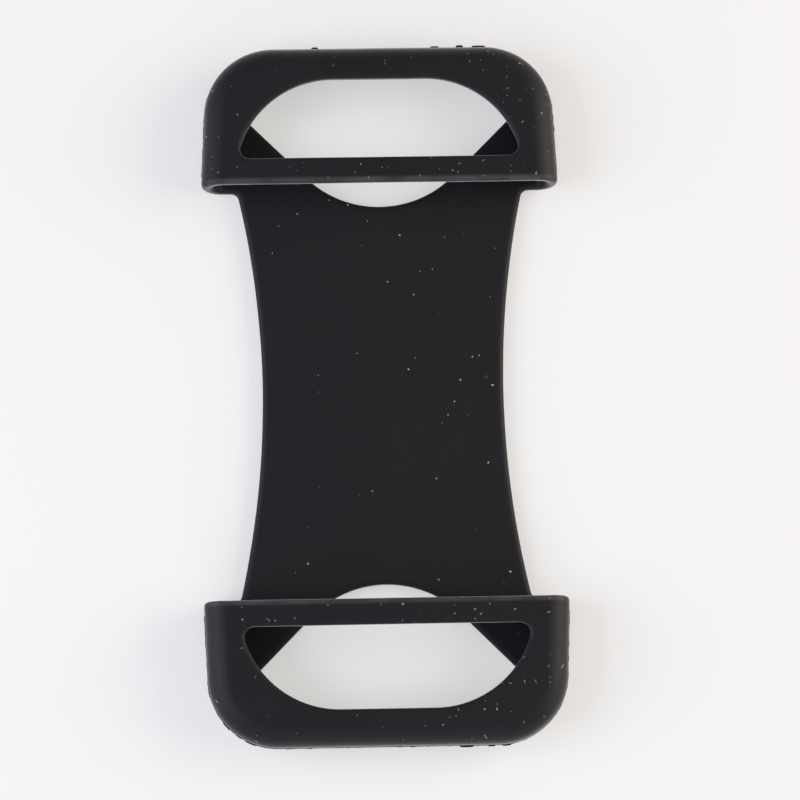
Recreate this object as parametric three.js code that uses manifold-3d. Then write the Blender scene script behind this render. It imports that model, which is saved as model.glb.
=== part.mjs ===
// A one-piece silicone phone strap: two pocket-like caps that grip the ends of a phone,
// joined behind it by a waisted panel that the fingers slip under.
// It lies on its back: X runs across, Y runs along, Z points up through the front windows,
// and the origin is on the resting face, midway between the two ends.
import * as THREE from "three";
import { mergeVertices } from "three/addons/utils/BufferGeometryUtils.js";
import Module from "manifold-3d";

// Caps, in millimetres.
const STRAP_LENGTH = 142.2;
const CAP_WIDTH = 71; // across the sides, where the round corners start
const CAP_DEPTH = 29.4; // from the mouth to the end
const MOUTH_FLARE = 0.8; // how far each side stands out at the mouth
const THICKNESS = 11; // from the back face to the front face
const WALL = 2.5;
const CORNER_RADIUS = 14; // of the cap's corners, seen from the front
const EDGE_RADIUS = 5; // of the outer edge, from the side round to the front or the back
const LIP_RADIUS = 1; // of the soft edges at the mouth and along the panel
const LIP_TAPER = 0.8; // share of that radius that the mouth's corners lose at the two faces

// Front window: a flat side towards the mouth and a round side towards the end.
const FRONT_BAR = 5.3; // from the mouth to the window's flat side
const FRONT_HEIGHT = 16.2; // from the flat side to the top of the round side
const FRONT_RADIUS = 19.5; // of the round side, at the left and at the right
const FRONT_FLAT_TOP = 18.6; // straight stretch between the two round parts
const FRONT_CORNER_RADIUS = 2;

// Back window: a rounded triangle that points to the middle of the strap.
const BACK_BAND = 3.2; // from the end to the window's straight side
const BACK_WINDOW_WIDTH = 60.8;
const BACK_CORNER_RADIUS = 5;
const BACK_APEX = 32; // from the end to the tip
const BACK_APEX_RADIUS = 21;
const RIM_RADIUS = 0.8; // of the soft edge round all four windows

// Panel between the two caps.
const WAIST_WIDTH = 48.8;
const ROOT_WIDTH = 60.8; // across the panel where its fillets run into the mouth
const FILLET_RADIUS = 1.5;
const PANEL_LAP = 4; // how far the panel runs on inside a cap's back wall

// How finely the curves are divided.
const CORNER_STEPS = 12;
const EDGE_STEPS = 6;
const LIP_STEPS = 3;
const WAIST_STEPS = 16;

// Cutters run past what they cut by PAST, and cross a surface by CROSSING instead of grazing it.
// Points closer than WELD are one point.
const PAST = 3;
const CROSSING = 0.02;
const WELD = 1e-4;
const QUARTER = Math.PI / 2;

const MOUTH_Y = STRAP_LENGTH / 2 - CAP_DEPTH;

const wasm = await Module();
wasm.setup();

// Points along a circle's arc, in the direction from the start angle to the end angle.
function arc(x, y, radius, start, end, steps) {
  const curve = new THREE.EllipseCurve(x, y, radius, radius, start, end, end < start);
  return curve.getPoints(steps);
}

// The same outline turned left for right, still running anticlockwise.
function mirrored(points) {
  return points.map((p) => new THREE.Vector2(-p.x, p.y)).reverse();
}

// A closed skin through a stack of outlines with equally many points, capped at both ends.
function loft(levels) {
  const count = levels[0].points.length;
  const positions = [];
  const indices = [];
  for (const { z, points } of levels) {
    for (const p of points) positions.push(p.x, p.y, z);
  }
  for (let level = 0; level < levels.length - 1; level += 1) {
    for (let i = 0; i < count; i += 1) {
      const a = level * count + i;
      const b = level * count + ((i + 1) % count);
      indices.push(a, b, b + count, a, b + count, a + count);
    }
  }
  const top = (levels.length - 1) * count;
  for (const [a, b, c] of THREE.ShapeUtils.triangulateShape(levels[0].points, [])) {
    indices.push(a, c, b);
  }
  for (const [a, b, c] of THREE.ShapeUtils.triangulateShape(levels.at(-1).points, [])) {
    indices.push(top + a, top + b, top + c);
  }
  const geometry = new THREE.BufferGeometry();
  geometry.setAttribute("position", new THREE.Float32BufferAttribute(positions, 3));
  geometry.setIndex(indices);
  return geometry;
}

// The solid inside a closed geometry.
function solidOf(geometry) {
  const merged = mergeVertices(geometry, WELD);
  return new wasm.Manifold(
    new wasm.Mesh({
      numProp: 3,
      vertProperties: merged.attributes.position.array,
      triVerts: new Uint32Array(merged.index.array),
    }),
  );
}

// A three.js geometry from a solid.
function geometryOf(solid) {
  const mesh = solid.getMesh();
  const geometry = new THREE.BufferGeometry();
  geometry.setAttribute("position", new THREE.BufferAttribute(mesh.vertProperties, 3));
  geometry.setIndex(new THREE.BufferAttribute(mesh.triVerts, 1));
  return geometry;
}

// How far a round edge has drawn in at a given depth below the face that it runs into.
function drawIn(radius, depth) {
  const left = Math.max(radius - depth, 0);
  return radius - Math.sqrt(radius * radius - left * left);
}

// Depths below a face at which a round edge turns by equal angles.
function edgeDepths(radius, steps) {
  return Array.from({ length: steps + 1 }, (_, i) => radius * (1 - Math.cos((i / steps) * QUARTER)));
}

// Heights for a body with round edges at both faces, from the back face to the front face.
function stackHeights(bottom, top, edges) {
  const depths = edges.flatMap(([radius, steps]) => edgeDepths(radius, steps));
  const sorted = [...depths].sort((a, b) => a - b);
  const spaced = sorted.filter((depth, i) => i === 0 || depth - sorted[i - 1] > CROSSING);
  return [...spaced.map((depth) => bottom + depth), ...spaced.reverse().map((depth) => top - depth)];
}

// Plan outline of a cap with its mouth along y = 0 and its end at y = CAP_DEPTH.
// The sides and the end draw in by `inset`, and the mouth steps back to `mouth`.
function capOutline(inset, mouth, mouthRadius) {
  const cornerX = CAP_WIDTH / 2 - CORNER_RADIUS;
  const cornerY = CAP_DEPTH - CORNER_RADIUS;
  const mouthX = CAP_WIDTH / 2 + MOUTH_FLARE - inset;
  const right = [
    ...arc(mouthX - mouthRadius, mouth + mouthRadius, mouthRadius, -QUARTER, 0, LIP_STEPS),
    ...arc(cornerX, cornerY, CORNER_RADIUS - inset, 0, QUARTER, CORNER_STEPS),
  ];
  return [...right, ...mirrored(right)];
}

// The outside of a cap: round outer edges, and a softer lip round the mouth.
function capBody() {
  const heights = stackHeights(0, THICKNESS, [[EDGE_RADIUS, EDGE_STEPS], [LIP_RADIUS, LIP_STEPS]]);
  const levels = heights.map((z) => {
    const depth = Math.min(z, THICKNESS - z);
    const inset = drawIn(EDGE_RADIUS, depth);
    const mouthRadius = LIP_RADIUS * (1 - (LIP_TAPER * inset) / EDGE_RADIUS);
    return { z, points: capOutline(inset, drawIn(LIP_RADIUS, depth), mouthRadius) };
  });
  return solidOf(loft(levels));
}

// The pocket inside a cap, one wall in from the outside and running out through the mouth.
function capPocket() {
  const radius = EDGE_RADIUS - WALL;
  const heights = stackHeights(WALL, THICKNESS - WALL, [[radius, LIP_STEPS]]);
  const levels = heights.map((z) => {
    const depth = Math.min(z - WALL, THICKNESS - WALL - z);
    return { z, points: capOutline(WALL + drawIn(radius, depth), -PAST, LIP_RADIUS) };
  });
  return solidOf(loft(levels));
}

// The soft inner edge of the mouth: the pocket's section, opening out towards the mouth.
function mouthFlare() {
  const sectionRadius = EDGE_RADIUS - WALL;
  const halfWidth = CAP_WIDTH / 2 + MOUTH_FLARE - EDGE_RADIUS;
  const halfHeight = THICKNESS / 2 - EDGE_RADIUS;
  const section = (offset) => {
    const radius = sectionRadius + offset;
    const right = [
      ...arc(halfWidth, -halfHeight, radius, -QUARTER, 0, EDGE_STEPS),
      ...arc(halfWidth, halfHeight, radius, 0, QUARTER, EDGE_STEPS),
    ];
    return [...right, ...mirrored(right)];
  };
  const depths = edgeDepths(LIP_RADIUS, LIP_STEPS);
  const levels = [
    { z: -PAST, points: section(LIP_RADIUS) },
    ...depths.map((z) => ({ z, points: section(drawIn(LIP_RADIUS, z) - CROSSING) })),
    { z: 2 * LIP_RADIUS, points: section(-LIP_RADIUS / 4) },
  ];
  const geometry = loft(levels);
  geometry.rotateX(QUARTER);
  geometry.scale(1, -1, 1);
  geometry.index.array.reverse();
  geometry.translate(0, 0, THICKNESS / 2);
  return solidOf(geometry);
}

// A cutter for a window through a wall from `bottom` to `top`, with a soft rim at both faces.
function windowCutter(outline, bottom, top) {
  const depths = edgeDepths(RIM_RADIUS, LIP_STEPS);
  const rim = depths.map((depth) => [depth - CROSSING, drawIn(RIM_RADIUS, depth)]);
  const levels = [
    { z: bottom - PAST, points: outline(RIM_RADIUS) },
    ...rim.map(([depth, offset]) => ({ z: bottom + depth, points: outline(offset) })),
    ...rim.reverse().map(([depth, offset]) => ({ z: top - depth, points: outline(offset) })),
    { z: top + PAST, points: outline(RIM_RADIUS) },
  ];
  return solidOf(loft(levels));
}

// The front window's outline, spread outwards by `offset`.
function frontOutline(offset) {
  const arcX = FRONT_FLAT_TOP / 2;
  const arcY = FRONT_BAR + FRONT_HEIGHT - FRONT_RADIUS;
  const filletReach = FRONT_RADIUS - FRONT_CORNER_RADIUS;
  const filletY = FRONT_BAR + FRONT_CORNER_RADIUS;
  const meet = Math.asin((filletY - arcY) / filletReach);
  const filletX = arcX + filletReach * Math.cos(meet);
  const right = [
    ...arc(filletX, filletY, FRONT_CORNER_RADIUS + offset, -QUARTER, meet, LIP_STEPS + 1),
    ...arc(arcX, arcY, FRONT_RADIUS + offset, meet, QUARTER, CORNER_STEPS).slice(1),
  ];
  return [...right, ...mirrored(right)];
}

// The back window's outline, spread outwards by `offset`.
function backOutline(offset) {
  const cornerX = BACK_WINDOW_WIDTH / 2 - BACK_CORNER_RADIUS;
  const cornerY = CAP_DEPTH - BACK_BAND - BACK_CORNER_RADIUS;
  const apexY = CAP_DEPTH - BACK_APEX + BACK_APEX_RADIUS;
  const between = new THREE.Vector2(cornerX, cornerY - apexY);
  const spread = Math.acos((BACK_APEX_RADIUS - BACK_CORNER_RADIUS) / between.length());
  const slope = Math.atan2(between.y, between.x) - spread;
  const right = [
    ...arc(0, apexY, BACK_APEX_RADIUS + offset, -QUARTER, slope, CORNER_STEPS / 2),
    ...arc(cornerX, cornerY, BACK_CORNER_RADIUS + offset, slope, QUARTER, CORNER_STEPS / 2),
  ];
  return [...right, ...mirrored(right).slice(0, -1)];
}

// The panel's outline, drawn in by `inset`: two long hollow sides between the mouths of the
// caps, each running into the mouths through a small fillet.
function panelOutline(inset) {
  const waist = WAIST_WIDTH / 2;
  const rootX = ROOT_WIDTH / 2;
  const filletY = MOUTH_Y - FILLET_RADIUS;
  const spread = rootX - waist;
  const sideRadius =
    (spread * spread + filletY * filletY - FILLET_RADIUS * FILLET_RADIUS) /
    (2 * (spread - FILLET_RADIUS));
  const sideX = waist + sideRadius;
  const meet = Math.atan2(filletY, sideX - rootX);
  const filletRadius = FILLET_RADIUS + inset;
  const right = [
    new THREE.Vector2(rootX, -MOUTH_Y - PANEL_LAP),
    ...arc(rootX, -filletY, filletRadius, -QUARTER, meet - Math.PI, LIP_STEPS),
    ...arc(sideX, 0, sideRadius + inset, Math.PI + meet, Math.PI - meet, WAIST_STEPS).slice(1, -1),
    ...arc(rootX, filletY, filletRadius, Math.PI - meet, QUARTER, LIP_STEPS),
    new THREE.Vector2(rootX, MOUTH_Y + PANEL_LAP),
  ];
  return [...right, ...mirrored(right)];
}

// The waisted panel, with soft edges.
function panel() {
  const heights = stackHeights(0, WALL, [[LIP_RADIUS, LIP_STEPS]]);
  const levels = heights.map((z) => {
    const depth = Math.min(z, WALL - z);
    return { z, points: panelOutline(drawIn(LIP_RADIUS, depth)) };
  });
  return solidOf(loft(levels));
}

// The strap: two caps mouth to mouth, joined by the panel, and then all four windows cut.
function strap() {
  const shell = capBody().subtract(capPocket()).subtract(mouthFlare());
  const windows = windowCutter(frontOutline, THICKNESS - WALL, THICKNESS).add(
    windowCutter(backOutline, 0, WALL),
  );
  const atTop = (solid) => solid.translate([0, MOUTH_Y, 0]);
  const atBottom = (solid) => solid.rotate([0, 0, 180]).translate([0, -MOUTH_Y, 0]);
  return atTop(shell)
    .add(atBottom(shell))
    .add(panel())
    .subtract(atTop(windows))
    .subtract(atBottom(windows));
}

const mesh = new THREE.Mesh(
  geometryOf(strap()),
  new THREE.MeshStandardMaterial({ color: 0x242226, roughness: 0.75, metalness: 0 }),
);
mesh.name = "strap";

const part = new THREE.Group();
part.add(mesh);

export default part;
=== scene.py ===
import logging
import math
from dataclasses import dataclass, field
from enum import Enum

import bpy
import numpy as np
from mathutils import Matrix, Vector, noise


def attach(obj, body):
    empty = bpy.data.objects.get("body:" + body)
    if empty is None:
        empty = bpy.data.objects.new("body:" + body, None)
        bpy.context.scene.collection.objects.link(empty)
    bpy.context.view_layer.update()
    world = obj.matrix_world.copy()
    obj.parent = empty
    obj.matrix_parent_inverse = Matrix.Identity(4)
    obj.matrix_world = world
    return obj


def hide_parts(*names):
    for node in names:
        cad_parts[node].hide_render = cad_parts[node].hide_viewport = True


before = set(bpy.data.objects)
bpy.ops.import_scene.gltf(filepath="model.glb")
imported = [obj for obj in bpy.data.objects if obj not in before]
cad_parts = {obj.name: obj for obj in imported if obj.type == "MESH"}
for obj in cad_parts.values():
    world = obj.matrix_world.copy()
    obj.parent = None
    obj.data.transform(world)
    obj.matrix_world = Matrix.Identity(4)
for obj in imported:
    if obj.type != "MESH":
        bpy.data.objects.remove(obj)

# Looks of a one-piece silicone finger strap for a phone. It lies on its back panel:
# X across, Y along, Z up. Sizes are in millimetres until a finished mesh is written.

MM = 0.001
QUARTER = math.pi / 2
LEAST_RISE = 0.02  # levels of a loft closer than this become one
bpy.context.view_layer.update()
LOG = logging.getLogger("finger_strap")

Outline = np.ndarray
Level = tuple[float, Outline]


class CapEnd(Enum):
    """The two ends of the strap, with the sign of Y that each stands at."""

    TOP = 1
    BOTTOM = -1


class Cut(Enum):
    """How one solid is combined with another."""

    JOIN = "UNION"
    TAKE_AWAY = "DIFFERENCE"


def linear(colour: str) -> tuple[float, float, float, float]:
    """Turns an sRGB hex colour to linear.

    Args:
        colour: six hex digits with a leading hash sign.

    Returns:
        Red, green, blue and an alpha of 1.
    """
    channels = [int(colour[i : i + 2], 16) / 255 for i in (1, 3, 5)]
    bent = [c / 12.92 if c <= 0.04045 else ((c + 0.055) / 1.055) ** 2.4 for c in channels]
    return (bent[0], bent[1], bent[2], 1.0)


def add_node(
    tree: bpy.types.NodeTree, kind: str, inputs: dict | None = None, **settings: object
) -> bpy.types.Node:
    """Adds a node with its settings, its constants and its links.

    Args:
        tree: the node tree to add to.
        kind: the node's type name.
        inputs: by socket name or number, either a socket to link from or a constant.
        **settings: the node's own properties.

    Returns:
        The new node.
    """
    node = tree.nodes.new(kind)
    for name, value in settings.items():
        setattr(node, name, value)
    for key, value in (inputs or {}).items():
        if isinstance(value, bpy.types.NodeSocket):
            tree.links.new(value, node.inputs[key])
        else:
            node.inputs[key].default_value = value
    return node


def compute(
    tree: bpy.types.NodeTree, operation: str, *values: bpy.types.NodeSocket | float
) -> bpy.types.NodeSocket:
    """Adds a Math node.

    Args:
        tree: the node tree to add to.
        operation: what the node does.
        *values: its inputs in order, each a socket or a constant.

    Returns:
        The socket of its result.
    """
    return add_node(
        tree, "ShaderNodeMath", dict(enumerate(values)), operation=operation
    ).outputs[0]


def ranged(
    tree: bpy.types.NodeTree,
    value: bpy.types.NodeSocket,
    start: float = 0.0,
    end: float = 1.0,
    low: float = 0.0,
    high: float = 1.0,
) -> bpy.types.NodeSocket:
    """Adds a Map Range node, which stays between its two results.

    Args:
        tree: the node tree to add to.
        value: the socket to map.
        start: the value that gives the low result.
        end: the value that gives the high result.
        low: the low result.
        high: the high result.

    Returns:
        The socket of its result.
    """
    limits = {0: value, 1: start, 2: end, 3: low, 4: high}
    return add_node(tree, "ShaderNodeMapRange", limits).outputs[0]


def noise_node(
    tree: bpy.types.NodeTree,
    place: bpy.types.NodeSocket,
    size_mm: float,
    detail: float,
    roughness: float = 0.5,
) -> bpy.types.Node:
    """Adds a noise with features of a given size.

    Args:
        tree: the node tree to add to.
        place: the coordinates, in metres.
        size_mm: size of its largest features.
        detail: how many finer layers it has.
        roughness: how strong the finer layers are.

    Returns:
        The noise node.
    """
    inputs = {"Scale": 1 / (size_mm * MM), "Detail": detail, "Roughness": roughness}
    return add_node(tree, "ShaderNodeTexNoise", {"Vector": place, **inputs})


def blend(
    tree: bpy.types.NodeTree,
    mask: bpy.types.NodeSocket,
    under: bpy.types.NodeSocket | tuple[float, float, float, float],
    over: str,
) -> bpy.types.NodeSocket:
    """Adds a Mix node that lays a colour over another.

    Args:
        tree: the material's tree.
        mask: 1 where the upper colour shows.
        under: the lower colour, a socket or a linear colour.
        over: the upper colour, sRGB hex.

    Returns:
        The socket of the mixed colour.
    """
    inputs = {0: mask, 6: under, 7: linear(over)}
    return add_node(tree, "ShaderNodeMix", inputs, data_type="RGBA").outputs[2]


def arc(x: float, y: float, radius: float, start: float, end: float, steps: int) -> Outline:
    """Points along a circle's arc, from the start angle to the end angle."""
    turn = np.linspace(start, end, steps + 1)
    return np.column_stack([x + radius * np.cos(turn), y + radius * np.sin(turn)])


def mirrored(points: Outline) -> Outline:
    """The same outline turned left for right, still running anticlockwise."""
    return points[::-1] * np.array([-1.0, 1.0])


def draw_in(radius: float, depth: float) -> float:
    """How far a round edge has drawn in at a depth below the face that it runs into."""
    left = max(radius - depth, 0.0)
    return radius - math.sqrt(radius * radius - left * left)


def edge_depths(radius: float, steps: int) -> list[float]:
    """Depths below a face at which a round edge turns by equal angles."""
    return [radius * (1 - math.cos(i / steps * QUARTER)) for i in range(steps + 1)]


def stack_heights(bottom: float, top: float, edges: list[tuple[float, int]]) -> list[float]:
    """Heights for a body with round edges at both faces.

    Args:
        bottom: height of the back face.
        top: height of the front face.
        edges: radius and number of steps of each round edge.

    Returns:
        The heights from the back face to the front face.
    """
    depths = sorted(depth for radius, steps in edges for depth in edge_depths(radius, steps))
    spaced = [d for i, d in enumerate(depths) if i == 0 or d - depths[i - 1] > LEAST_RISE]
    return [bottom + d for d in spaced] + [top - d for d in reversed(spaced)]


def mesh_object(name: str, vertices: list, faces: list) -> bpy.types.Object:
    """Makes an object from corners and faces and links it to the scene.

    Args:
        name: name of the object and of its mesh.
        vertices: the corners.
        faces: the corner numbers of each face.

    Returns:
        The new object.
    """
    mesh = bpy.data.meshes.new(name)
    mesh.from_pydata(vertices, [], faces)
    mesh.update()
    made = bpy.data.objects.new(name, mesh)
    bpy.context.scene.collection.objects.link(made)
    return made


def loft(
    name: str, levels: list[Level], upright: bool = True, lift: float = 0.0
) -> bpy.types.Object:
    """Makes a closed skin through a stack of outlines, capped at both ends.

    Args:
        name: name of the object.
        levels: height and outline of each level, with equally many points.
        upright: True stacks along Z, False along Y with the outlines standing up.
        lift: added to Z of a stack along Y.

    Returns:
        The new object.
    """
    count = len(levels[0][1])
    top = (len(levels) - 1) * count
    faces = [tuple(reversed(range(count))), tuple(range(top, top + count))]
    for base in range(0, top, count):
        for i in range(count):
            a, b = base + i, base + (i + 1) % count
            faces.append((a, b, b + count, a + count))
    if upright:
        vertices = [(x, y, z) for z, points in levels for x, y in points]
    else:
        vertices = [(x, y, z + lift) for y, points in levels for x, z in points]
        faces = [tuple(reversed(face)) for face in faces]
    return mesh_object(name, vertices, faces)


def apply_modifiers(target: bpy.types.Object) -> None:
    """Turns an object and its modifiers into a plain mesh.

    Args:
        target: the object, which keeps its name and place.
    """
    shown = target.evaluated_get(bpy.context.evaluated_depsgraph_get())
    mesh = bpy.data.meshes.new_from_object(shown)
    target.modifiers.clear()
    old = target.data
    target.data = mesh
    if isinstance(old, bpy.types.Mesh):
        bpy.data.meshes.remove(old)


def combine(target: bpy.types.Object, other: bpy.types.Object, cut: Cut) -> None:
    """Joins another solid to the target or takes it away.

    Args:
        target: the solid to change.
        other: the other solid, which is removed.
        cut: which of the two is done.
    """
    modifier = target.modifiers.new("combine", "BOOLEAN")
    modifier.operation = cut.value
    modifier.solver = "MANIFOLD"
    modifier.object = other
    apply_modifiers(target)
    bpy.data.objects.remove(other)


def solid_copy(source: bpy.types.Object, end: CapEnd, reach: float) -> bpy.types.Object:
    """Copies a solid made with its mouth at y = 0 to one end of the strap.

    Args:
        source: the solid to copy.
        end: which end.
        reach: distance of the mouth from the strap's middle.

    Returns:
        The copy.
    """
    made = bpy.data.objects.new(f"{source.name}_{end.name.lower()}", source.data.copy())
    bpy.context.scene.collection.objects.link(made)
    turn = 0.0 if end is CapEnd.TOP else math.pi
    place = Matrix.Translation((0, end.value * reach, 0)) @ Matrix.Rotation(turn, 4, "Z")
    made.data.transform(place)
    return made


@dataclass(frozen=True)
class SiliconeRubber:
    """Finish of compression-moulded black silicone rubber.

    It is matte and deep black, with a soft grey bloom where it turns away, a fine
    grain from the blasted mould and faint moulding clouds. Pale lint clings to it as
    specks and short fibres. Grey dust on the front lips of the mouths is also a painted highlight
    of their rounding.
    """

    colour: str = "#111217"
    cloud_colour: str = "#18171C"
    cloud_mm: float = 22.0
    roughness: float = 0.58
    roughness_spread: float = 0.06
    ior: float = 1.41
    specular: float = 0.36
    sheen: float = 1.0
    sheen_roughness: float = 0.3
    sheen_tint: str = "#DAD6D6"
    wave_mm: float = 4.5
    wave_depth_mm: float = 0.05
    wave_strength: float = 0.35
    grain_mm: float = 0.35  # blasted mould grain is finer; drawn as coarse as it can show
    grain_depth_mm: float = 0.012
    grain_strength: float = 0.5
    lint_colour: str = "#BDB9B4"
    speck_cell_mm: float = 1.3
    speck_mm: float = 0.2
    speck_share: float = 0.3
    fibre_cell_mm: float = 2.6
    fibre_length_mm: float = 1.0
    fibre_width_mm: float = 0.11
    fibre_share: float = 0.2
    lint_patch_mm: float = 30.0
    lint_side_mm: tuple[float, float] = (-30.0, 36.0)
    lint_side_gain: tuple[float, float] = (1.4, 3.0)  # more lint at the right side
    sheltered_share: float = 0.2  # lint left on the low panel, next to the front walls
    # grey dust on the front lips, painted lighter also as the highlight of their rounding
    lip_dust_and_highlight_colour: str = "#454347"
    lip_dust_and_highlight_patch_mm: float = 6.0
    mouth_mm: float = 41.7  # where the mouths stand, on both sides of the middle
    lip_mm: float = 1.3
    panel_top_mm: float = 3.0
    front_wall_mm: float = 8.5  # height at which the front wall starts

    def material(self) -> bpy.types.Material:
        """Builds the node material.

        Returns:
            The material, which reads Object coordinates only.
        """
        made = bpy.data.materials.new("moulded_silicone_rubber")
        made.use_nodes = True
        tree = made.node_tree
        tree.nodes.clear()
        place = add_node(tree, "ShaderNodeTexCoord").outputs["Object"]
        clouds = noise_node(tree, place, self.cloud_mm, 5.0, 0.6).outputs[0]
        colour = blend(tree, clouds, linear(self.colour), self.cloud_colour)
        # front lips painted lighter: partly dust, partly a painted highlight of the rounding
        colour = blend(tree, self._dust(tree, place), colour, self.lip_dust_and_highlight_colour)
        colour = blend(tree, self._specks(tree, place), colour, self.lint_colour)
        colour = blend(tree, self._fibres(tree, place), colour, self.lint_colour)
        low, high = self.roughness - self.roughness_spread, self.roughness + self.roughness_spread
        relief = {}
        for size, detail, strength, depth in (
            (self.wave_mm, 2.0, self.wave_strength, self.wave_depth_mm),
            (self.grain_mm, 3.0, self.grain_strength, self.grain_depth_mm),
        ):
            height = noise_node(tree, place, size, detail).outputs[0]
            bump = {"Strength": strength, "Distance": depth * MM, "Height": height, **relief}
            relief = {"Normal": add_node(tree, "ShaderNodeBump", bump).outputs[0]}
        shader = add_node(
            tree,
            "ShaderNodeBsdfPrincipled",
            {
                "Base Color": colour,
                "Roughness": ranged(tree, clouds, low=low, high=high),
                "IOR": self.ior,
                "Specular IOR Level": self.specular,
                "Sheen Weight": self.sheen,
                "Sheen Roughness": self.sheen_roughness,
                "Sheen Tint": linear(self.sheen_tint),
                **relief,
            },
        )
        add_node(tree, "ShaderNodeOutputMaterial", {"Surface": shader.outputs[0]})
        return made

    def _dust(self, tree: bpy.types.NodeTree, place: bpy.types.NodeSocket) -> bpy.types.NodeSocket:
        """Adds the nodes of the grey dust and painted highlight on the front lips of the mouths.

        Args:
            tree: the material's tree.
            place: Object coordinates.

        Returns:
            A mask that is 1 where the lip is painted lighter, as dust and highlight.
        """
        axes = add_node(tree, "ShaderNodeSeparateXYZ", {0: place}).outputs
        along = compute(tree, "ABSOLUTE", axes[1])
        outer, inner = self.mouth_mm + self.lip_mm, self.mouth_mm + 0.5 * self.lip_mm
        lip = ranged(tree, along, outer * MM, inner * MM)
        wall = self.front_wall_mm
        high = ranged(tree, axes[2], wall * MM, (wall + self.lip_mm) * MM)
        patches = noise_node(tree, place, self.lip_dust_and_highlight_patch_mm, 4.0).outputs[0]
        return self._product(tree, lip, high, ranged(tree, patches, 0.3, 0.6, 0.4))

    def _specks(
        self, tree: bpy.types.NodeTree, place: bpy.types.NodeSocket
    ) -> bpy.types.NodeSocket:
        """Adds the nodes of the lint specks.

        Args:
            tree: the material's tree.
            place: Object coordinates.

        Returns:
            A mask that is 1 on a speck.
        """
        bent = self._curled(tree, place, 2 * self.speck_mm)
        cells, pick = self._cells(tree, bent, self.speck_cell_mm, 1.0)
        width = self.speck_mm / self.speck_cell_mm
        size = ranged(tree, pick[1], low=0.3 * width, high=width)
        near = compute(tree, "LESS_THAN", cells["Distance"], size)
        strength = ranged(tree, pick[2], low=0.1, high=0.9)
        return self._product(
            tree, self._present(tree, place, pick[0], self.speck_share), near, strength
        )

    def _fibres(
        self, tree: bpy.types.NodeTree, place: bpy.types.NodeSocket
    ) -> bpy.types.NodeSocket:
        """Adds the nodes of the short curled fibres, each turned its own way.

        Args:
            tree: the material's tree.
            place: Object coordinates.

        Returns:
            A mask that is 1 on a fibre.
        """
        length, width = self.fibre_length_mm * MM, self.fibre_width_mm * MM
        bent = self._curled(tree, place, 0.3 * self.fibre_length_mm)
        cells, pick = self._cells(tree, bent, self.fibre_cell_mm, 0.7)
        within = add_node(
            tree, "ShaderNodeVectorMath", {0: bent, 1: cells["Position"]}, operation="SUBTRACT"
        )
        angle = compute(tree, "MULTIPLY", pick[1], 4 * QUARTER)
        turned = add_node(
            tree,
            "ShaderNodeVectorRotate",
            {"Vector": within.outputs[0], "Angle": angle},
            rotation_type="Z_AXIS",
        )
        axes = add_node(tree, "ShaderNodeSeparateXYZ", {0: turned.outputs[0]}).outputs
        half_length = ranged(tree, pick[2], low=0.15 * length, high=0.5 * length)
        inside = [
            compute(tree, "LESS_THAN", compute(tree, "ABSOLUTE", offset), limit)
            for offset, limit in zip(axes, (half_length, 0.5 * width, 0.6 * length))
        ]
        strength = ranged(tree, pick[1], low=0.1, high=0.8)
        present = self._present(tree, place, pick[0], self.fibre_share)
        return self._product(tree, present, *inside, strength)

    def _cells(
        self,
        tree: bpy.types.NodeTree,
        place: bpy.types.NodeSocket,
        size_mm: float,
        randomness: float,
    ) -> tuple[bpy.types.bpy_prop_collection, bpy.types.bpy_prop_collection]:
        """Adds the nodes of a cell pattern with three random numbers for each cell.

        Args:
            tree: the material's tree.
            place: the coordinates.
            size_mm: size of a cell.
            randomness: how unevenly the cells lie.

        Returns:
            The pattern's sockets and the sockets of the random numbers.
        """
        cells = add_node(
            tree,
            "ShaderNodeTexVoronoi",
            {"Vector": place, "Scale": 1 / (size_mm * MM), "Randomness": randomness},
        ).outputs
        return cells, add_node(tree, "ShaderNodeSeparateColor", {0: cells["Color"]}).outputs

    def _curled(
        self, tree: bpy.types.NodeTree, place: bpy.types.NodeSocket, reach_mm: float
    ) -> bpy.types.NodeSocket:
        """Adds the nodes that bend the coordinates, so that straight marks curl.

        Args:
            tree: the material's tree.
            place: Object coordinates.
            reach_mm: how far a place moves at most, and the size of a curl.

        Returns:
            The bent coordinates.
        """
        curl = noise_node(tree, place, reach_mm, 1.0).outputs[1]
        centred = add_node(
            tree, "ShaderNodeVectorMath", {0: curl, 1: (0.5, 0.5, 0.5)}, operation="SUBTRACT"
        )
        bent = add_node(
            tree,
            "ShaderNodeVectorMath",
            {0: centred.outputs[0], 1: (reach_mm * MM,) * 3, 2: place},
            operation="MULTIPLY_ADD",
        )
        return bent.outputs[0]

    def _present(
        self,
        tree: bpy.types.NodeTree,
        place: bpy.types.NodeSocket,
        chance: bpy.types.NodeSocket,
        share: float,
    ) -> bpy.types.NodeSocket:
        """Adds the nodes that leave most cells bare, least so at the right and on the front.

        Args:
            tree: the material's tree.
            place: Object coordinates.
            chance: an even random number for each cell.
            share: roughly the share of the cells that hold lint.

        Returns:
            A mask that is 1 in the cells that hold lint.
        """
        patches = noise_node(tree, place, self.lint_patch_mm, 1.0).outputs[0]
        axes = add_node(tree, "ShaderNodeSeparateXYZ", {0: place}).outputs
        left, right = (x * MM for x in self.lint_side_mm)
        low, high = (gain * share for gain in self.lint_side_gain)
        side = ranged(tree, axes[0], left, right, low, high)
        front = ranged(
            tree, axes[2], self.panel_top_mm * MM, self.front_wall_mm * MM, self.sheltered_share
        )
        return compute(tree, "LESS_THAN", chance, self._product(tree, patches, side, front))

    def _product(
        self, tree: bpy.types.NodeTree, *masks: bpy.types.NodeSocket
    ) -> bpy.types.NodeSocket:
        """Multiplies masks with each other.

        Args:
            tree: the material's tree.
            *masks: the masks.

        Returns:
            Their product.
        """
        whole = masks[0]
        for mask in masks[1:]:
            whole = compute(tree, "MULTIPLY", whole, mask)
        return whole


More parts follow.
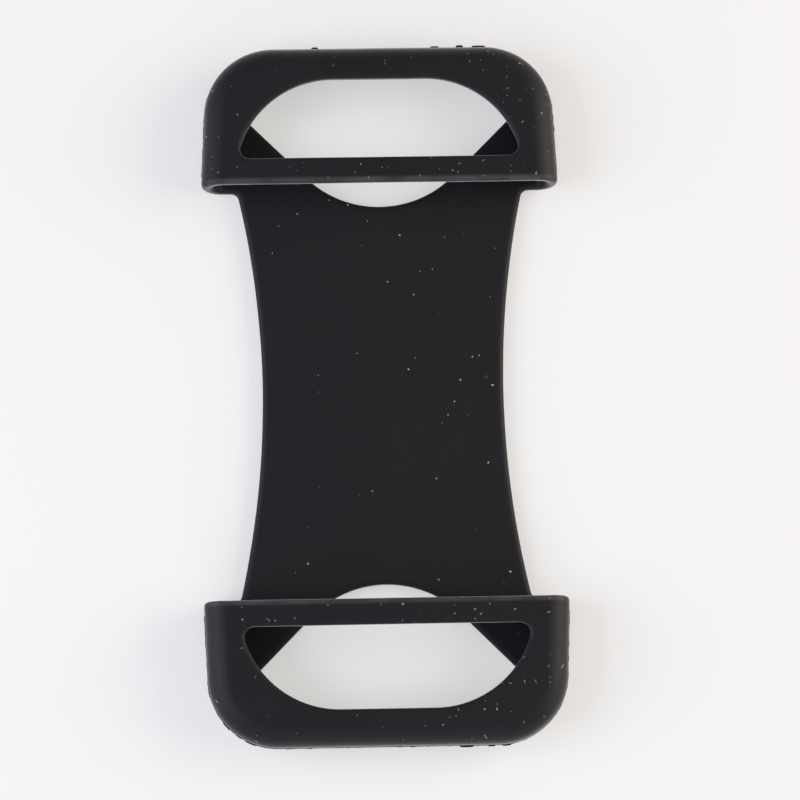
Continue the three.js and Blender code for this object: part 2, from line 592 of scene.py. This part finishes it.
@dataclass
class Cap:
    """One pocket-like cap, made with its mouth along y = 0 and its end at y = depth."""

    width: float = 71.0
    depth: float = 29.4
    mouth_flare: float = 0.68  # 0.8 in the solid: the parting line needs the rest
    thickness: float = 11.0
    wall: float = 2.5
    corner_radius: float = 14.0
    edge_radius: float = 5.0
    lip_radius: float = 1.0
    front_bar: float = 5.3
    front_height: float = 16.2
    front_radius: float = 19.5
    front_flat_top: float = 18.6
    front_corner_radius: float = 2.0
    back_band: float = 3.2
    back_window_width: float = 60.8
    back_corner_radius: float = 5.0
    back_apex: float = 32.0
    back_apex_radius: float = 21.0
    rim_radius: float = 0.8
    corner_steps: int = 48
    edge_steps: int = 24
    lip_steps: int = 8
    past: float = 3.0  # how far a cutter reaches beyond the faces that it opens
    crossing: float = 0.02  # how far two cutters cross, so that no two faces coincide
    least_lip: float = 0.2  # share of the lip's radius left where the edge is drawn in most

    def outline(self, inset: float, mouth: float, mouth_radius: float) -> Outline:
        """Plan outline of the cap, drawn in at the sides and the end.

        Args:
            inset: how far the sides and the end draw in.
            mouth: where the mouth stands.
            mouth_radius: radius of the two corners at the mouth.

        Returns:
            The outline, anticlockwise from the right mouth corner.
        """
        corner_x = self.width / 2 - self.corner_radius
        corner_y = self.depth - self.corner_radius
        mouth_x = self.width / 2 + self.mouth_flare - inset
        right = np.vstack([
            arc(
                mouth_x - mouth_radius,
                mouth + mouth_radius,
                mouth_radius,
                -QUARTER,
                0,
                self.lip_steps,
            ),
            arc(corner_x, corner_y, self.corner_radius - inset, 0, QUARTER, self.corner_steps),
        ])
        return np.vstack([right, mirrored(right)])

    def body(self) -> bpy.types.Object:
        """Outside of the cap: round outer edges and a softer lip round the mouth.

        Returns:
            The solid.
        """
        edges = [(self.edge_radius, self.edge_steps), (self.lip_radius, self.lip_steps)]
        levels = []
        for z in stack_heights(0, self.thickness, edges):
            depth = min(z, self.thickness - z)
            inset = draw_in(self.edge_radius, depth)
            share = 1 - (1 - self.least_lip) * inset / self.edge_radius
            mouth = draw_in(self.lip_radius, depth)
            levels.append((z, self.outline(inset, mouth, share * self.lip_radius)))
        return loft("cap_body", levels)

    def pocket(self) -> bpy.types.Object:
        """Room inside the cap, one wall in from the outside and out through the mouth.

        Returns:
            The cutter.
        """
        radius = self.edge_radius - self.wall
        low, high = self.wall, self.thickness - self.wall
        levels = []
        for z in stack_heights(low, high, [(radius, self.edge_steps)]):
            inset = self.wall + draw_in(radius, min(z - low, high - z))
            levels.append((z, self.outline(inset, -self.past, self.lip_radius)))
        return loft("cap_pocket", levels)

    def flare(self) -> bpy.types.Object:
        """Soft inner edge of the mouth: the pocket's section, opening towards the mouth.

        Returns:
            The cutter.
        """
        half_width = self.width / 2 + self.mouth_flare - self.edge_radius
        half_height = self.thickness / 2 - self.edge_radius

        def section(offset: float) -> Outline:
            """Section of the pocket, spread outwards by an offset.

            Args:
                offset: how far it is spread.

            Returns:
                The section's outline.
            """
            radius = self.edge_radius - self.wall + offset
            right = np.vstack([
                arc(half_width, -half_height, radius, -QUARTER, 0, self.edge_steps),
                arc(half_width, half_height, radius, 0, QUARTER, self.edge_steps),
            ])
            return np.vstack([right, mirrored(right)])

        levels = [(-self.past, section(self.lip_radius))]
        for y in edge_depths(self.lip_radius, self.lip_steps):
            levels.append((y, section(draw_in(self.lip_radius, y) - self.crossing)))
        levels.append((2 * self.lip_radius, section(-self.lip_radius / 4)))
        return loft("cap_flare", levels, upright=False, lift=self.thickness / 2)

    def front_outline(self, offset: float) -> Outline:
        """Outline of the front window, spread outwards by an offset.

        Args:
            offset: how far it is spread.

        Returns:
            The outline, anticlockwise.
        """
        arc_x = self.front_flat_top / 2
        arc_y = self.front_bar + self.front_height - self.front_radius
        reach = self.front_radius - self.front_corner_radius
        y = self.front_bar + self.front_corner_radius
        meet = math.asin((y - arc_y) / reach)
        x = arc_x + reach * math.cos(meet)
        round_side = arc(
            arc_x, arc_y, self.front_radius + offset, meet, QUARTER, self.corner_steps
        )
        right = np.vstack([
            arc(x, y, self.front_corner_radius + offset, -QUARTER, meet, self.lip_steps),
            round_side[1:],
        ])
        return np.vstack([right, mirrored(right)])

    def back_outline(self, offset: float) -> Outline:
        """Outline of the back window, spread outwards by an offset.

        Args:
            offset: how far it is spread.

        Returns:
            The outline, anticlockwise.
        """
        corner_x = self.back_window_width / 2 - self.back_corner_radius
        corner_y = self.depth - self.back_band - self.back_corner_radius
        apex_y = self.depth - self.back_apex + self.back_apex_radius
        between = (corner_x, corner_y - apex_y)
        spread = math.acos((self.back_apex_radius - self.back_corner_radius) / math.hypot(*between))
        slope = math.atan2(between[1], between[0]) - spread
        steps = self.corner_steps // 2
        right = np.vstack([
            arc(0, apex_y, self.back_apex_radius + offset, -QUARTER, slope, steps),
            arc(corner_x, corner_y, self.back_corner_radius + offset, slope, QUARTER, steps),
        ])
        return np.vstack([right, mirrored(right)[:-1]])

    def window(self, front: bool) -> bpy.types.Object:
        """Cutter for a window with a soft rim at both faces of its wall.

        Args:
            front: True for the front window, False for the back window.

        Returns:
            The cutter.
        """
        outline = self.front_outline if front else self.back_outline
        bottom, top = (self.thickness - self.wall, self.thickness) if front else (0.0, self.wall)
        rim = [
            (d - self.crossing, draw_in(self.rim_radius, d))
            for d in edge_depths(self.rim_radius, self.lip_steps)
        ]
        levels = [(bottom - self.past, outline(self.rim_radius))]
        levels += [(bottom + d, outline(offset)) for d, offset in rim]
        levels += [(top - d, outline(offset)) for d, offset in reversed(rim)]
        levels.append((top + self.past, outline(self.rim_radius)))
        return loft("front_window" if front else "back_window", levels)

    def shell(self) -> bpy.types.Object:
        """The cap with its pocket, before its windows are cut.

        Returns:
            The solid.
        """
        made = self.body()
        combine(made, self.pocket(), Cut.TAKE_AWAY)
        combine(made, self.flare(), Cut.TAKE_AWAY)
        return made


@dataclass
class Panel:
    """The waisted panel behind the phone, between the mouths of the two caps."""

    mouth_y: float
    waist_width: float = 48.8
    root_width: float = 60.8
    fillet_radius: float = 1.5
    lap: float = 4.0
    thickness: float = 2.5
    edge_radius: float = 1.0
    waist_steps: int = 96
    fillet_steps: int = 10
    edge_steps: int = 8

    def outline(self, inset: float) -> Outline:
        """Outline of the panel, drawn in by an inset.

        Args:
            inset: how far it is drawn in.

        Returns:
            The outline, anticlockwise.
        """
        root_x = self.root_width / 2
        fillet_y = self.mouth_y - self.fillet_radius
        spread = root_x - self.waist_width / 2
        side_radius = (spread**2 + fillet_y**2 - self.fillet_radius**2) / (
            2 * (spread - self.fillet_radius)
        )
        side_x = self.waist_width / 2 + side_radius
        meet = math.atan2(fillet_y, side_x - root_x)
        radius = self.fillet_radius + inset
        side = arc(
            side_x, 0, side_radius + inset, math.pi + meet, math.pi - meet, self.waist_steps
        )
        right = np.vstack([
            [(root_x, -self.mouth_y - self.lap)],
            arc(root_x, -fillet_y, radius, -QUARTER, meet - math.pi, self.fillet_steps),
            side[1:-1],
            arc(root_x, fillet_y, radius, math.pi - meet, QUARTER, self.fillet_steps),
            [(root_x, self.mouth_y + self.lap)],
        ])
        return np.vstack([right, mirrored(right)])

    def body(self) -> bpy.types.Object:
        """The panel as a solid with soft edges.

        Returns:
            The solid.
        """
        levels = []
        for z in stack_heights(0, self.thickness, [(self.edge_radius, self.edge_steps)]):
            depth = min(z, self.thickness - z)
            levels.append((z, self.outline(draw_in(self.edge_radius, depth))))
        return loft("panel", levels)


@dataclass
class StrapSkin:
    """The whole strap as one moulded skin: two caps, the panel and four windows."""

    length: float = 142.2
    end_room: float = 0.45  # how far the skin's ends stay back, for the flash that stands proud
    voxel: float = 0.52
    sag: float = 0.12  # how far the soft walls wander inwards
    sag_length: float = 17.0
    cap: Cap = field(default_factory=Cap)

    def build(self, material: bpy.types.Material) -> bpy.types.Object:
        """Builds the skin and dresses it.

        Args:
            material: the silicone finish.

        Returns:
            The skin, in metres, standing for the CAD strap.
        """
        mouth_y = self.length / 2 - self.cap.depth
        self.cap.depth -= self.end_room
        skin = self._solid(mouth_y)
        self._even_out(skin)
        self._wander(skin.data)
        skin.data.materials.clear()
        skin.data.materials.append(material)
        skin.data.shade_smooth()
        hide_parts("strap")
        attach(skin, "root")
        return skin

    def _solid(self, mouth_y: float) -> bpy.types.Object:
        """Joins the caps and the panel and cuts the windows.

        Args:
            mouth_y: distance of each mouth from the strap's middle.

        Returns:
            The exact solid, in millimetres.
        """
        shell = self.cap.shell()
        windows = [self.cap.window(front) for front in (True, False)]
        whole = Panel(mouth_y, thickness=self.cap.wall).body()
        for end in CapEnd:
            combine(whole, solid_copy(shell, end, mouth_y), Cut.JOIN)
        for end in CapEnd:
            for window in windows:
                combine(whole, solid_copy(window, end, mouth_y), Cut.TAKE_AWAY)
        for used in (shell, *windows):
            bpy.data.objects.remove(used)
        whole.name = "strap_skin"
        return whole

    def _even_out(self, skin: bpy.types.Object) -> None:
        """Gives the skin an even mesh that lies on the exact surface.

        Args:
            skin: the exact solid, which is changed.
        """
        exact = bpy.data.objects.new("exact", skin.data.copy())
        bpy.context.scene.collection.objects.link(exact)
        remesh = skin.modifiers.new("even", "REMESH")
        remesh.mode = "VOXEL"
        remesh.voxel_size = self.voxel
        wrap = skin.modifiers.new("onto_exact", "SHRINKWRAP")
        wrap.wrap_method = "NEAREST_SURFACEPOINT"
        wrap.target = exact
        apply_modifiers(skin)
        bpy.data.objects.remove(exact)

    def _wander(self, mesh: bpy.types.Mesh) -> None:
        """Moves the skin slightly inwards, more in some places, and turns it to metres.

        Args:
            mesh: the skin's mesh, which is changed.
        """
        count = len(mesh.vertices)
        places = np.empty(count * 3)
        mesh.vertices.foreach_get("co", places)
        places = places.reshape(-1, 3)
        normals = np.empty(count * 3)
        mesh.vertices.foreach_get("normal", normals)
        depth = np.array(
            [0.5 + 0.5 * noise.noise(Vector(p) / self.sag_length) for p in places]
        )
        places -= normals.reshape(-1, 3) * (self.sag * np.clip(depth, 0, 1))[:, None]
        mesh.vertices.foreach_set("co", (places * MM).ravel())
        mesh.update()


@dataclass(frozen=True)
class Nib:
    """One nib of torn moulding flash on the outer edge: its place, its size and its height."""

    x: float
    y: float
    length: float
    proud: float = 0.3
    height: float = 5.5


def new_tree(name: str, inputs: dict[str, str]) -> tuple[bpy.types.NodeTree, dict[str, str]]:
    """Starts a Geometry Nodes tree with a geometry going in and out.

    Args:
        name: name of the tree.
        inputs: socket type of each further input, by its name.

    Returns:
        The tree, and the identifier of each input by its name.
    """
    tree = bpy.data.node_groups.new(name, "GeometryNodeTree")
    tree.interface.new_socket("Geometry", in_out="OUTPUT", socket_type="NodeSocketGeometry")
    tree.interface.new_socket("Geometry", in_out="INPUT", socket_type="NodeSocketGeometry")
    keys = {
        title: tree.interface.new_socket(title, in_out="INPUT", socket_type=kind).identifier
        for title, kind in inputs.items()
    }
    return tree, keys


def grow(
    target: bpy.types.Object, tree: bpy.types.NodeTree, values: dict[str, object]
) -> bpy.types.Object:
    """Runs a Geometry Nodes tree on an object and keeps the result as a plain mesh.

    Args:
        target: a curve or mesh object in metres.
        tree: the tree to run.
        values: the modifier's inputs by identifier.

    Returns:
        A mesh object of the same name.
    """
    modifier = target.modifiers.new("grow", "NODES")
    modifier.node_group = tree
    for identifier, value in values.items():
        modifier[identifier] = value
    target.update_tag()
    shown = target.evaluated_get(bpy.context.evaluated_depsgraph_get())
    mesh = bpy.data.meshes.new_from_object(shown)
    name = target.name
    target.modifiers.clear()
    bpy.data.objects.remove(target)
    made = bpy.data.objects.new(name, mesh)
    bpy.context.scene.collection.objects.link(made)
    mesh.shade_smooth()
    return made


def close_tree(
    tree: bpy.types.NodeTree, geometry: bpy.types.NodeSocket, material: bpy.types.NodeSocket
) -> None:
    """Ends a Geometry Nodes tree in Realize Instances and Set Material.

    Args:
        tree: the tree to end.
        geometry: the socket with its finished geometry.
        material: the socket with the material input.
    """
    real = add_node(tree, "GeometryNodeRealizeInstances", {0: geometry})
    dressed = add_node(tree, "GeometryNodeSetMaterial", {0: real.outputs[0], "Material": material})
    add_node(tree, "NodeGroupOutput", {0: dressed.outputs[0]})


@dataclass
class PartingLine:
    """The fine raised line where the two mould halves met, with its torn flash."""

    cap: Cap
    mouth_y: float
    inset: float = 0.05
    bead: float = 0.12
    lump: float = 0.12
    lump_length: float = 1.6
    step: float = 0.3
    clear_of_mouth: float = 0.12  # share of the straight side left bare at the mouth
    seed: int = 7
    nib_thickness: float = 0.42
    nib_roundness: float = 0.75
    lump_start: float = 0.52  # noise from which the bead rises
    lump_end: float = 0.7  # noise at which it stands highest
    section_sides: int = 8
    nibs: tuple[Nib, ...] = (  # those at the top stand higher, where they pass the edge
        Nib(-12.8, 71.0, 1.5, 0.3, 7.6),
        Nib(11.6, 71.0, 1.9, 0.2, 7.6),
        Nib(16.7, 71.0, 1.6, 0.38, 7.6),
        Nib(20.6, 71.0, 3.0, 0.26, 7.6),
        Nib(35.7, 53.4, 1.1, 0.2),
        Nib(15.2, -71.0, 3.1, 0.42),
        Nib(20.1, -71.0, 1.6, 0.32),
        Nib(23.1, -71.0, 2.0, 0.32),
        Nib(-33.3, -63.7, 1.3, 0.14),
        Nib(-31.6, -65.8, 2.2, 0.22),
        Nib(-29.4, -68.0, 1.6, 0.18),
        Nib(-27.2, -69.5, 2.6, 0.24),
        Nib(-35.6, -48.0, 2.0, 0.1),
    )

    def build(self, material: bpy.types.Material) -> list[bpy.types.Object]:
        """Builds the line round both caps and the nibs on it.

        Args:
            material: the silicone finish.

        Returns:
            The finished pieces.
        """
        pieces = [self._bead(end, material) for end in CapEnd]
        pieces.append(self._nib_row(material))
        for piece in pieces:
            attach(piece, "root")
        return pieces

    def path(self, end: CapEnd, inset: float) -> Outline:
        """The cap's outer edge in plan, from one side of the mouth round to the other.

        Args:
            end: which cap.
            inset: how far inside the edge the path runs.

        Returns:
            The points of the path.
        """
        outline = self.cap.outline(inset, 0.0, self.cap.lip_radius)
        edge = outline[outline[:, 1] > 2 * self.cap.lip_radius]
        corner = outline[outline[:, 1] <= 2 * self.cap.lip_radius]
        side = [max(corner[:, 0]), self.cap.lip_radius]
        start = side + (edge[0] - side) * self.clear_of_mouth
        turned = np.vstack([[start], edge, [start * np.array([-1.0, 1.0])]])
        return end.value * (turned + np.array([0.0, self.mouth_y]))

    def _bead(self, end: CapEnd, material: bpy.types.Material) -> bpy.types.Object:
        """The ragged bead along one cap's outer edge.

        Args:
            end: which cap.
            material: the silicone finish.

        Returns:
            The finished bead.
        """
        curve = bpy.data.curves.new("route", "CURVE")
        curve.dimensions = "3D"
        spline = curve.splines.new("POLY")
        points = self.path(end, self.inset)
        spline.points.add(len(points) - 1)
        for point, (x, y) in zip(spline.points, points):
            point.co = (x * MM, y * MM, self.cap.thickness / 2 * MM, 1.0)
        route = bpy.data.objects.new(f"parting_line_{end.name.lower()}", curve)
        bpy.context.scene.collection.objects.link(route)
        tree, keys = self._bead_tree()
        return grow(
            route,
            tree,
            {
                keys["Bead"]: self.bead * MM,
                keys["Lump"]: self.lump * MM,
                keys["Lump length"]: self.lump_length * MM,
                keys["Step"]: self.step * MM,
                keys["Seed"]: float(self.seed + end.value),
                keys["Material"]: material,
            },
        )

    def _bead_tree(self) -> tuple[bpy.types.NodeTree, dict[str, str]]:
        """The node tree that turns a route into a ragged bead.

        Returns:
            The tree, and the identifier of each input by its name.
        """
        sizes = ("Bead", "Lump", "Lump length", "Step", "Seed")
        tree, keys = new_tree(
            "ragged_bead",
            {name: "NodeSocketFloat" for name in sizes} | {"Material": "NodeSocketMaterial"},
        )
        given = add_node(tree, "NodeGroupInput").outputs
        finer = add_node(
            tree,
            "GeometryNodeResampleCurve",
            {"Curve": given["Geometry"], "Length": given["Step"]},
            mode="LENGTH",
        )
        place = add_node(tree, "GeometryNodeInputPosition").outputs[0]
        scale = compute(tree, "DIVIDE", 1.0, given["Lump length"])
        ragged = add_node(
            tree,
            "ShaderNodeTexNoise",
            {"Vector": place, "W": given["Seed"], "Scale": scale, "Detail": 3.0},
            noise_dimensions="4D",
        )
        peaks = ranged(tree, ragged.outputs[0], self.lump_start, self.lump_end)
        raised = compute(tree, "MULTIPLY_ADD", peaks, given["Lump"], given["Bead"])
        section = add_node(
            tree,
            "GeometryNodeCurvePrimitiveCircle",
            {"Resolution": self.section_sides, "Radius": 1.0},
        )
        bead = add_node(
            tree,
            "GeometryNodeCurveToMesh",
            {
                "Curve": finer.outputs[0],
                "Profile Curve": section.outputs[0],
                "Scale": raised,
                "Fill Caps": True,
            },
        )
        close_tree(tree, bead.outputs[0], given["Material"])
        return tree, keys

    def _nib_row(self, material: bpy.types.Material) -> bpy.types.Object:
        """The torn nibs, each set square to the outer edge at its place.

        Args:
            material: the silicone finish.

        Returns:
            All nibs, as one object.
        """
        places, turns, sizes = [], [], []
        for nib in self.nibs:
            end = CapEnd.TOP if nib.y > 0 else CapEnd.BOTTOM
            depth = min(nib.height, self.cap.thickness - nib.height)
            route = self.path(end, draw_in(self.cap.edge_radius, depth))
            nearest = int(np.argmin(np.hypot(route[:, 0] - nib.x, route[:, 1] - nib.y)))
            nearest = min(max(nearest, 1), len(route) - 2)
            before, after = route[nearest - 1], route[nearest + 1]
            chord = np.linalg.norm(after - before)
            along = (after - before) / chord
            reach = np.clip(np.dot(np.array([nib.x, nib.y]) - before, along), 0, chord)
            x, y = before + reach * along
            places.append((x * MM, y * MM, nib.height * MM))
            turns.append((0.0, 0.0, math.atan2(along[1], along[0])))
            sizes.append((nib.length * MM, 2 * nib.proud * MM, self.nib_thickness * MM))
        row = mesh_object("flash_nibs", places, [])
        for name, values in (("turn", turns), ("size", sizes)):
            layer = row.data.attributes.new(name, "FLOAT_VECTOR", "POINT")
            layer.data.foreach_set("vector", np.array(values).ravel())
        tree, keys = self._nib_tree()
        return grow(row, tree, {keys["Roundness"]: self.nib_roundness, keys["Material"]: material})

    def _nib_tree(self) -> tuple[bpy.types.NodeTree, dict[str, str]]:
        """The node tree that sets a rounded nib on each point.

        Returns:
            The tree, and the identifier of each input by its name.
        """
        tree, keys = new_tree(
            "torn_nibs", {"Roundness": "NodeSocketFloat", "Material": "NodeSocketMaterial"}
        )
        given = add_node(tree, "NodeGroupInput").outputs
        crease = compute(tree, "SUBTRACT", 1.0, given["Roundness"])
        block = add_node(tree, "GeometryNodeMeshCube", {"Size": (1.0, 1.0, 1.0)})
        nib = add_node(
            tree,
            "GeometryNodeSubdivisionSurface",
            {"Mesh": block.outputs[0], "Level": 3, "Edge Crease": crease},
        )
        turn = add_node(
            tree, "GeometryNodeInputNamedAttribute", {"Name": "turn"}, data_type="FLOAT_VECTOR"
        )
        size = add_node(
            tree, "GeometryNodeInputNamedAttribute", {"Name": "size"}, data_type="FLOAT_VECTOR"
        )
        nibs = add_node(
            tree,
            "GeometryNodeInstanceOnPoints",
            {
                "Points": given["Geometry"],
                "Instance": nib.outputs[0],
                "Rotation": turn.outputs[0],
                "Scale": size.outputs[0],
            },
        )
        close_tree(tree, nibs.outputs[0], given["Material"])
        return tree, keys


@dataclass(frozen=True)
class Lamp:
    """A square area lamp that faces the strap, with sizes in millimetres."""

    name: str
    place: tuple[float, float, float]
    side: float
    watts: float
    colour: str


@dataclass
class Studio:
    """A plain pale floor, soft lamps at both sides and the camera above the strap."""

    floor_colour: str = "#F8F8F7"
    floor_glow: float = 0.5  # share of plain white that keeps the background pale
    floor_half: float = 3.0  # metres
    world_colour: str = "#F4F5F8"
    world_strength: float = 0.3
    lamps: tuple[Lamp, ...] = (
        Lamp("left_lamp", (-520, -60, 300), 520, 3.3, "#EAF0FF"),
        Lamp("right_lamp", (560, 60, 200), 520, 4.2, "#FFEFE0"),
        Lamp("front_lamp", (0, -560, 240), 420, 0.7, "#F0F3FF"),
    )
    camera_place: tuple[float, float, float] = (-5.63, -72.19, 478.21)
    azimuth: float = 7.26
    elevation: float = 81.48
    roll: float = 6.29
    focal_pixels: float = 2385.87
    picture_pixels: float = 800.0
    sensor_width: float = 36.0
    nearest: float = 0.01  # metres

    def build(self) -> None:
        """Makes the floor, the lamps, the world and the camera."""
        self._floor()
        for lamp in self.lamps:
            self._hang(lamp)
        self._world()
        self._camera()
        bpy.context.scene.view_settings.view_transform = "Standard"

    def _floor(self) -> None:
        """Lays a plain pale floor just under the strap."""
        half = self.floor_half
        corners = [(-half, -half, 0), (half, -half, 0), (half, half, 0), (-half, half, 0)]
        floor = mesh_object("floor", corners, [(0, 1, 2, 3)])
        paint = bpy.data.materials.new("matt_white_paper")
        paint.use_nodes = True
        tree = paint.node_tree
        tree.nodes.clear()
        rays = add_node(tree, "ShaderNodeLightPath").outputs
        seen = rays["Is Camera Ray"]
        for ray in ("Is Glossy Ray", "Is Transmission Ray"):
            seen = compute(tree, "MAXIMUM", seen, rays[ray])
        share = compute(tree, "MULTIPLY", seen, self.floor_glow)
        paper = add_node(tree, "ShaderNodeBsdfDiffuse", {"Color": linear(self.floor_colour)})
        white = add_node(tree, "ShaderNodeEmission", {"Color": linear(self.floor_colour)})
        mixed = add_node(
            tree,
            "ShaderNodeMixShader",
            {0: share, 1: paper.outputs[0], 2: white.outputs[0]},
        )
        add_node(tree, "ShaderNodeOutputMaterial", {"Surface": mixed.outputs[0]})
        floor.data.materials.append(paint)

    def _hang(self, lamp: Lamp) -> None:
        """Hangs a lamp in the scene.

        Args:
            lamp: what hangs where.
        """
        light = bpy.data.lights.new(lamp.name, "AREA")
        light.energy = lamp.watts
        light.size = lamp.side * MM
        light.color = linear(lamp.colour)[:3]
        hung = bpy.data.objects.new(lamp.name, light)
        hung.location = Vector(lamp.place) * MM
        hung.rotation_euler = (-hung.location).to_track_quat("-Z", "Y").to_euler()
        bpy.context.scene.collection.objects.link(hung)

    def _world(self) -> None:
        """Fills in with an even, pale light from all sides."""
        world = bpy.data.worlds.new("studio")
        world.use_nodes = True
        shade = world.node_tree.nodes["Background"]
        shade.inputs["Color"].default_value = linear(self.world_colour)
        shade.inputs["Strength"].default_value = self.world_strength
        bpy.context.scene.world = world

    def _camera(self) -> None:
        """Sets the camera by its place, its two angles and its roll."""
        azimuth, elevation, roll = map(math.radians, (self.azimuth, self.elevation, self.roll))
        ahead = Vector((
            math.sin(azimuth) * math.cos(elevation),
            math.cos(azimuth) * math.cos(elevation),
            -math.sin(elevation),
        ))
        level = Vector((math.cos(azimuth), -math.sin(azimuth), 0))
        above = level.cross(ahead)
        right = math.cos(roll) * level + math.sin(roll) * above
        up = -math.sin(roll) * level + math.cos(roll) * above
        data = bpy.data.cameras.new("camera")
        data.sensor_width = self.sensor_width
        data.lens = self.focal_pixels / self.picture_pixels * data.sensor_width
        data.clip_start = self.nearest
        camera = bpy.data.objects.new("camera", data)
        turn = Matrix((right, up, -ahead)).transposed().to_4x4()
        camera.matrix_world = Matrix.Translation(Vector(self.camera_place) * MM) @ turn
        bpy.context.scene.collection.objects.link(camera)
        bpy.context.scene.camera = camera


def main() -> None:
    """Builds the strap, its surroundings and its light, and reports each piece."""
    logging.basicConfig(level=logging.INFO, format="%(name)s: %(message)s")
    silicone = SiliconeRubber().material()
    strap = StrapSkin()
    mouth_y = strap.length / 2 - strap.cap.depth
    pieces = [strap.build(silicone)]
    pieces += PartingLine(strap.cap, mouth_y).build(silicone)
    for piece in pieces:
        LOG.info("%s: %d faces", piece.name, len(piece.data.polygons))
    Studio().build()


if __name__ == "__main__":
    main()
